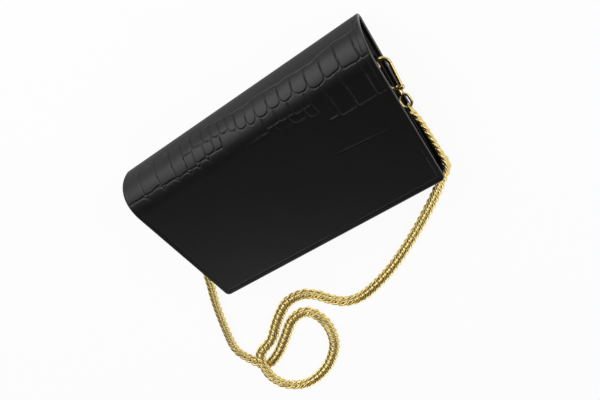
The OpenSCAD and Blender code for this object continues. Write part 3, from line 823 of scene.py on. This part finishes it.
def make_tab(hand, leather, thread):
    """A strap folded round the D-ring's bar and sewn to the gusset."""
    mirror = 1 if hand == "right" else -1
    centre = (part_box(f"tab_{hand}")[0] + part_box(f"tab_{hand}")[1]) / 2 / MM
    ring_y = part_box(f"tab_{hand}")[1].y / MM - LOOP_R - TAB_T / 2
    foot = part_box(f"tab_{hand}")[0].y / MM
    near, far = WALL_X + TAB_T / 2, WALL_X + 1.5 * TAB_T
    bar_x = WALL_X + LOOP_R + TAB_T / 2
    turn = np.radians(np.linspace(180, 0, 19))
    up = [(near, y) for y in steps(foot, (ring_y - 1, 2))]
    loop = [(bar_x + LOOP_R * math.cos(a), ring_y + LOOP_R * math.sin(a)) for a in turn]
    fall = np.linspace(0, 1, 9)[1:]
    neck = [(bar_x + LOOP_R + (far - bar_x - LOOP_R) * smooth_step(f, 0, 1), ring_y - TAB_NECK * f)
            for f in fall]
    down = [(far, y) for y in steps(ring_y - TAB_NECK - 1.5, (foot, 2))]
    line = np.array(up + loop + neck + down, float)
    length = np.concatenate([[0], np.cumsum(np.linalg.norm(np.diff(line, axis=0), axis=1))])
    stops = bead_stops(TAB_T / 2)
    at = np.concatenate([stops, steps(1.4, (length[-1] - 1.4, 0.7)), length[-1] - stops[::-1]])
    px, py = np.interp(at, length, line[:, 0]), np.interp(at, length, line[:, 1])
    ahead = unit(np.stack([np.gradient(px, at), np.gradient(py, at)], 1))
    half = TAB_W / 2
    between = np.linspace(-half + TAB_T, half - TAB_T, 6)
    wide = np.concatenate([-half + stops, between, half - stops[::-1]])
    middle = np.array([[(mirror * x, y, centre.z + w) for w in wide] for x, y in zip(px, py)])
    normal = np.array([[(mirror * a[1], -a[0], 0)] * len(wide) for a in ahead])
    away = np.minimum(half - np.abs(wide)[None, :], np.minimum(at, length[-1] - at)[:, None])
    made = slab(f"tab_leather_{hand}", middle, normal, TAB_T * 0.98, away, leather)
    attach(made, "root")
    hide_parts(f"tab_{hand}")
    face = mirror * (WALL_X + 2 * TAB_T)
    sewn = np.arange(foot + 1.6, ring_y - TAB_NECK - 1, STITCH_PITCH * 0.8)
    spots = np.array([(face, y, centre.z + w) for w in (-half + 1.1, half - 1.1) for y in sewn])
    stitches(f"tab_stitching_{hand}", spots, [0, 1.0, 0], [mirror, 0, 0], thread)


def stitches(name, spots, ahead, normal, material):
    """A run of short threads, each an oval bead half sunk in the leather."""
    ahead = np.broadcast_to(unit(np.asarray(ahead, float)), spots.shape)
    normal = np.broadcast_to(unit(np.asarray(normal, float)), spots.shape)
    side = np.cross(ahead, normal)
    rings, sides = 7, 8
    lean = np.linspace(-90, 90, rings)
    turn = np.radians(np.arange(sides) * 360 / sides)
    verts, faces = [], []
    for k, spot in enumerate(spots):
        base = len(verts)
        for a in np.radians(lean[1:-1]):
            reach, r = STITCH_L / 2 * math.sin(a), STITCH_R * math.cos(a) ** 0.5
            for b in turn:
                verts.append(spot + ahead[k] * reach
                             + side[k] * r * math.cos(b) + normal[k] * r * math.sin(b))
        tips = [len(verts), len(verts) + 1]
        verts += [spot - ahead[k] * STITCH_L / 2, spot + ahead[k] * STITCH_L / 2]
        for i in range(rings - 3):
            for j in range(sides):
                n = (j + 1) % sides
                faces.append((base + i * sides + j, base + i * sides + n,
                              base + (i + 1) * sides + n, base + (i + 1) * sides + j))
        last = base + (rings - 3) * sides
        for j in range(sides):
            n = (j + 1) % sides
            faces.append((tips[0], base + n, base + j))
            faces.append((tips[1], last + j, last + n))
    made = new_mesh(name, np.array(verts) * MM, faces, [material], smooth=True)
    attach(made, "root")


# Materials

def nodes_of(name):
    material = bpy.data.materials.new(name)
    material.use_nodes = True
    tree = material.node_tree
    return material, tree, tree.nodes["Principled BSDF"]


def add(tree, kind, links=None, **values):
    """A node with its sockets set, or linked where the value is a socket."""
    node = tree.nodes.new(kind)
    for key, value in values.items():
        setattr(node, key, value)
    for key, value in (links or {}).items():
        socket = node.inputs[key]
        if isinstance(value, bpy.types.NodeSocket):
            tree.links.new(value, socket)
        else:
            socket.default_value = value
    return node


def object_point(tree):
    return add(tree, "ShaderNodeTexCoord").outputs["Object"]


def ramp(tree, factor, low, high):
    """A value mapped from 0..1 to low..high, which are numbers or colours."""
    node = add(tree, "ShaderNodeValToRGB", {"Fac": factor})
    for k, value in enumerate((low, high)):
        if not hasattr(value, "__len__"):
            value = (value, value, value)
        node.color_ramp.elements[k].color = (*value, 1)
    return node.outputs["Color"]


def noise(tree, point, scale, detail=2.0):
    node = add(tree, "ShaderNodeTexNoise", {"Vector": point, "Scale": scale, "Detail": detail})
    return node.outputs["Fac"]


def bump(tree, shader, height, distance, strength=1.0, under=None):
    values = {"Height": height, "Distance": distance, "Strength": strength}
    if under is not None:
        values["Normal"] = under
    node = add(tree, "ShaderNodeBump", values)
    tree.links.new(node.outputs["Normal"], shader.inputs["Normal"])
    return node.outputs["Normal"]


# The leather's pebbles shade one another at a grazing angle, which takes most of the gloss away.
# Its grain is a number of pebbles and pores to the metre, and their heights in metres.
SHINE = 0.3
SHINE_GRAZING = 0.06
SHINE_AT = (0.25, 0.7)
PEBBLES = 1700.0
PEBBLE_H = 0.00005
PORES = 3200
PORE_H = 0.00002
GRAIN_STRENGTH = 0.35


def leather_finish(name, dark, light, rough_low, rough_high, grain=1.0):
    """Satin black leather: fine pebbled grain, faint mottling, and uneven gloss."""
    material, tree, shader = nodes_of(name)
    point = object_point(tree)
    mottle = noise(tree, point, 90, 4)
    tree.links.new(ramp(tree, mottle, dark, light), shader.inputs["Base Color"])
    gloss = noise(tree, point, 420, 3)
    tree.links.new(ramp(tree, gloss, rough_low, rough_high), shader.inputs["Roughness"])
    facing = add(tree, "ShaderNodeLayerWeight", {"Blend": 0.5}).outputs["Facing"]
    shine = ramp(tree, facing, SHINE, SHINE_GRAZING)
    for element, at in zip(shine.node.color_ramp.elements, SHINE_AT):
        element.position = at
    tree.links.new(shine, shader.inputs["Specular IOR Level"])
    pebble = add(tree, "ShaderNodeTexVoronoi", {"Vector": point, "Scale": PEBBLES})
    first = bump(tree, shader, pebble.outputs["Distance"], PEBBLE_H * grain, GRAIN_STRENGTH)
    bump(tree, shader, noise(tree, point, PORES, 3), PORE_H * grain, GRAIN_STRENGTH, first)
    return material


def thread_finish():
    """Waxed thread with its twist."""
    material, tree, shader = nodes_of("waxed_thread")
    point = object_point(tree)
    turned = add(tree, "ShaderNodeMapping", {"Vector": point, "Rotation": (0, 0, math.radians(40))})
    twist = add(tree, "ShaderNodeTexWave", {"Vector": turned.outputs["Vector"], "Scale": 900.0})
    tree.links.new(ramp(tree, twist.outputs["Fac"], 0.012, 0.03), shader.inputs["Base Color"])
    tree.links.new(ramp(tree, noise(tree, point, 900), 0.45, 0.6), shader.inputs["Roughness"])
    bump(tree, shader, twist.outputs["Fac"], 0.00008, 0.8)
    return material


def paint_finish():
    """Edge paint: smoother and a little glossier than the leather."""
    material, tree, shader = nodes_of("edge_paint")
    point = object_point(tree)
    tree.links.new(ramp(tree, noise(tree, point, 200), 0.010, 0.016), shader.inputs["Base Color"])
    tree.links.new(ramp(tree, noise(tree, point, 600), 0.20, 0.28), shader.inputs["Roughness"])
    shader.inputs["Specular IOR Level"].default_value = 0.5
    bump(tree, shader, noise(tree, point, 700), 0.00005, 0.6)
    return material


def cloth_finish():
    """Twill lining."""
    material, tree, shader = nodes_of("lining_twill")
    point = object_point(tree)
    turned = add(tree, "ShaderNodeMapping", {"Vector": point, "Rotation": (0, 0, math.radians(38))})
    rib = add(tree, "ShaderNodeTexWave", {"Vector": turned.outputs["Vector"], "Scale": 420.0,
                                          "Distortion": 0.6, "Detail": 1.0, "Detail Scale": 2.0})
    tree.links.new(ramp(tree, rib.outputs["Fac"], (0.012, 0.011, 0.010), (0.035, 0.032, 0.029)),
                   shader.inputs["Base Color"])
    tree.links.new(ramp(tree, noise(tree, point, 500), 0.75, 0.92), shader.inputs["Roughness"])
    shader.inputs["Sheen Weight"].default_value = 0.25
    bump(tree, shader, rib.outputs["Fac"], 0.00012, 0.7)
    return material


def metal_finish(name, colour, deep, rough_low, rough_high):
    """Polished plated metal with faint tarnish and hairline wear."""
    material, tree, shader = nodes_of(name)
    point = object_point(tree)
    shader.inputs["Metallic"].default_value = 1.0
    tarnish = ramp(tree, noise(tree, point, 260, 3), deep, colour)
    tree.links.new(tarnish, shader.inputs["Base Color"])
    wear = ramp(tree, noise(tree, point, 900, 3), rough_low, rough_high)
    tree.links.new(wear, shader.inputs["Roughness"])
    bump(tree, shader, noise(tree, point, 1500, 2), 0.00001, 0.4)
    return material


def board_finish():
    """Pressed fibre board."""
    material, tree, shader = nodes_of("fibre_board")
    point = object_point(tree)
    tree.links.new(ramp(tree, noise(tree, point, 800, 4), (0.22, 0.17, 0.11), (0.36, 0.29, 0.20)),
                   shader.inputs["Base Color"])
    tree.links.new(ramp(tree, noise(tree, point, 300), 0.8, 0.95), shader.inputs["Roughness"])
    bump(tree, shader, noise(tree, point, 1200, 3), 0.00005, 0.5)
    return material


def dress(material, *nodes):
    """Gives CAD nodes a finish."""
    for name in nodes:
        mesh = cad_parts[name].data
        mesh.materials.clear()
        mesh.materials.append(material)


# Stage

FLOOR_HALF = 3.0
FLOOR_Z = -0.0002
FLOOR_GLOW = 0.93
WORLD_LIGHT = 0.3
CEILING_LOW = 0.30
CEILING_HIGH = 0.62
CEILING = 0.03


def seen_rays(tree):
    """1 for the rays of the camera and of reflections, 0 for those of soft light."""
    rays = add(tree, "ShaderNodeLightPath")
    seen = add(tree, "ShaderNodeMath", {0: rays.outputs["Is Camera Ray"],
                                        1: rays.outputs["Is Glossy Ray"]}, operation="MAXIMUM")
    seen = add(tree, "ShaderNodeMath", {0: seen.outputs[0], 1: rays.outputs["Is Transmission Ray"]},
               operation="MAXIMUM")
    return seen.outputs[0]


def make_floor():
    """White floor: it fills the view and the reflections with white and keeps a faint shadow."""
    corners = [(-1, -1), (1, -1), (1, 1), (-1, 1)]
    material, tree, shader = nodes_of("floor")
    tree.nodes.remove(shader)
    diffuse = add(tree, "ShaderNodeBsdfDiffuse", {"Color": (0.82, 0.82, 0.82, 1)})
    glow = add(tree, "ShaderNodeEmission", {"Color": (1, 1, 1, 1), "Strength": 1.0})
    share = add(tree, "ShaderNodeMath", {0: seen_rays(tree), 1: FLOOR_GLOW}, operation="MULTIPLY")
    mixed = add(tree, "ShaderNodeMixShader", {0: share.outputs[0], 1: diffuse.outputs[0],
                                              2: glow.outputs[0]})
    tree.links.new(mixed.outputs[0], tree.nodes["Material Output"].inputs["Surface"])
    floor = new_mesh("floor", [(a * FLOOR_HALF, b * FLOOR_HALF, FLOOR_Z) for a, b in corners],
                     [(0, 1, 2, 3)], [material])


def make_lamp(name, at, aim, size, power):
    data = bpy.data.lights.new(name, "AREA")
    data.shape = "RECTANGLE"
    data.size, data.size_y = size
    data.energy = power
    lamp = bpy.data.objects.new(name, data)
    bpy.context.scene.collection.objects.link(lamp)
    lamp.location = at
    lamp.rotation_mode = "QUATERNION"
    lamp.rotation_quaternion = (Vector(aim) - Vector(at)).to_track_quat("-Z", "Y")


def make_world():
    """A studio: white walls, a dark ceiling, and an even soft light."""
    world = bpy.data.worlds.new("world")
    bpy.context.scene.world = world
    world.use_nodes = True
    tree = world.node_tree
    light = tree.nodes["Background"]
    light.inputs["Color"].default_value = (1, 1, 1, 1)
    light.inputs["Strength"].default_value = WORLD_LIGHT
    sky = add(tree, "ShaderNodeTexCoord").outputs["Generated"]
    way = add(tree, "ShaderNodeSeparateXYZ", {0: sky})
    room = add(tree, "ShaderNodeValToRGB", {"Fac": way.outputs["Z"]})
    for k, (at, tone) in enumerate(((CEILING_LOW, 1.0), (CEILING_HIGH, CEILING))):
        room.color_ramp.elements[k].position = at
        room.color_ramp.elements[k].color = (tone, tone, tone, 1)
    seen = add(tree, "ShaderNodeBackground", {"Color": room.outputs["Color"], "Strength": 1.0})
    mixed = add(tree, "ShaderNodeMixShader", {0: seen_rays(tree), 1: light.outputs[0],
                                              2: seen.outputs[0]})
    tree.links.new(mixed.outputs[0], tree.nodes["World Output"].inputs["Surface"])


def make_lights():
    make_lamp("top_back_softbox", (-0.18, 0.90, 0.60), (0, 0, 0), (1.1, 1.1), 12)
    make_lamp("right_softbox", (0.95, -0.15, 0.55), (0.02, -0.03, 0), (0.7, 0.6), 4)
    make_lamp("front_softbox", (-0.65, -1.0, 0.45), (-0.05, -0.1, 0), (0.9, 0.4), 3)
    make_world()
    bpy.context.scene.view_settings.view_transform = "Standard"


leather = leather_finish("embossed_leather", (0.0021, 0.0021, 0.0020), (0.0030, 0.0030, 0.0028),
                         0.37, 0.47)
side_leather = leather_finish("side_leather", (0.0030, 0.0029, 0.0028), (0.0046, 0.0045, 0.0043),
                              0.46, 0.6, grain=1.6)
paint = paint_finish()
thread = thread_finish()
lining = cloth_finish()
# The hook, rings, gates and snap get the chain's gold dimmed to about seven tenths: that darker
# colour is painted shade.
gold = metal_finish("gold_plate_painted_shade", (0.60, 0.47, 0.21), (0.46, 0.34, 0.125), 0.16, 0.28)
chain_gold = metal_finish("chain_gold", (0.84, 0.68, 0.29), (0.70, 0.54, 0.19), 0.27, 0.39)
steel = metal_finish("washer_steel", (0.60, 0.60, 0.62), (0.50, 0.50, 0.52), 0.3, 0.45)
board = board_finish()

make_camera()
make_chain(chain_gold)
make_flap(leather, paint)
make_back(leather, paint)
make_linings(lining)
make_front(leather, lining, thread)
make_pocket(lining, thread)
make_bottom(side_leather)
for hand in ("right", "left"):
    make_gusset(hand, side_leather)
    make_tab(hand, side_leather, thread)

HARDWARE = [f"{piece}_{hand}" for hand in ("right", "left")
            for piece in ("ring", "hook", "gate", "gate_pin", "swivel_eye", "end_link")]
dress(gold, "snap_stud", "snap_socket", *HARDWARE)
dress(steel, "flap_washer", "front_washer")
dress(board, "back_board", "front_board", "flap_board")

make_floor()
make_lights()
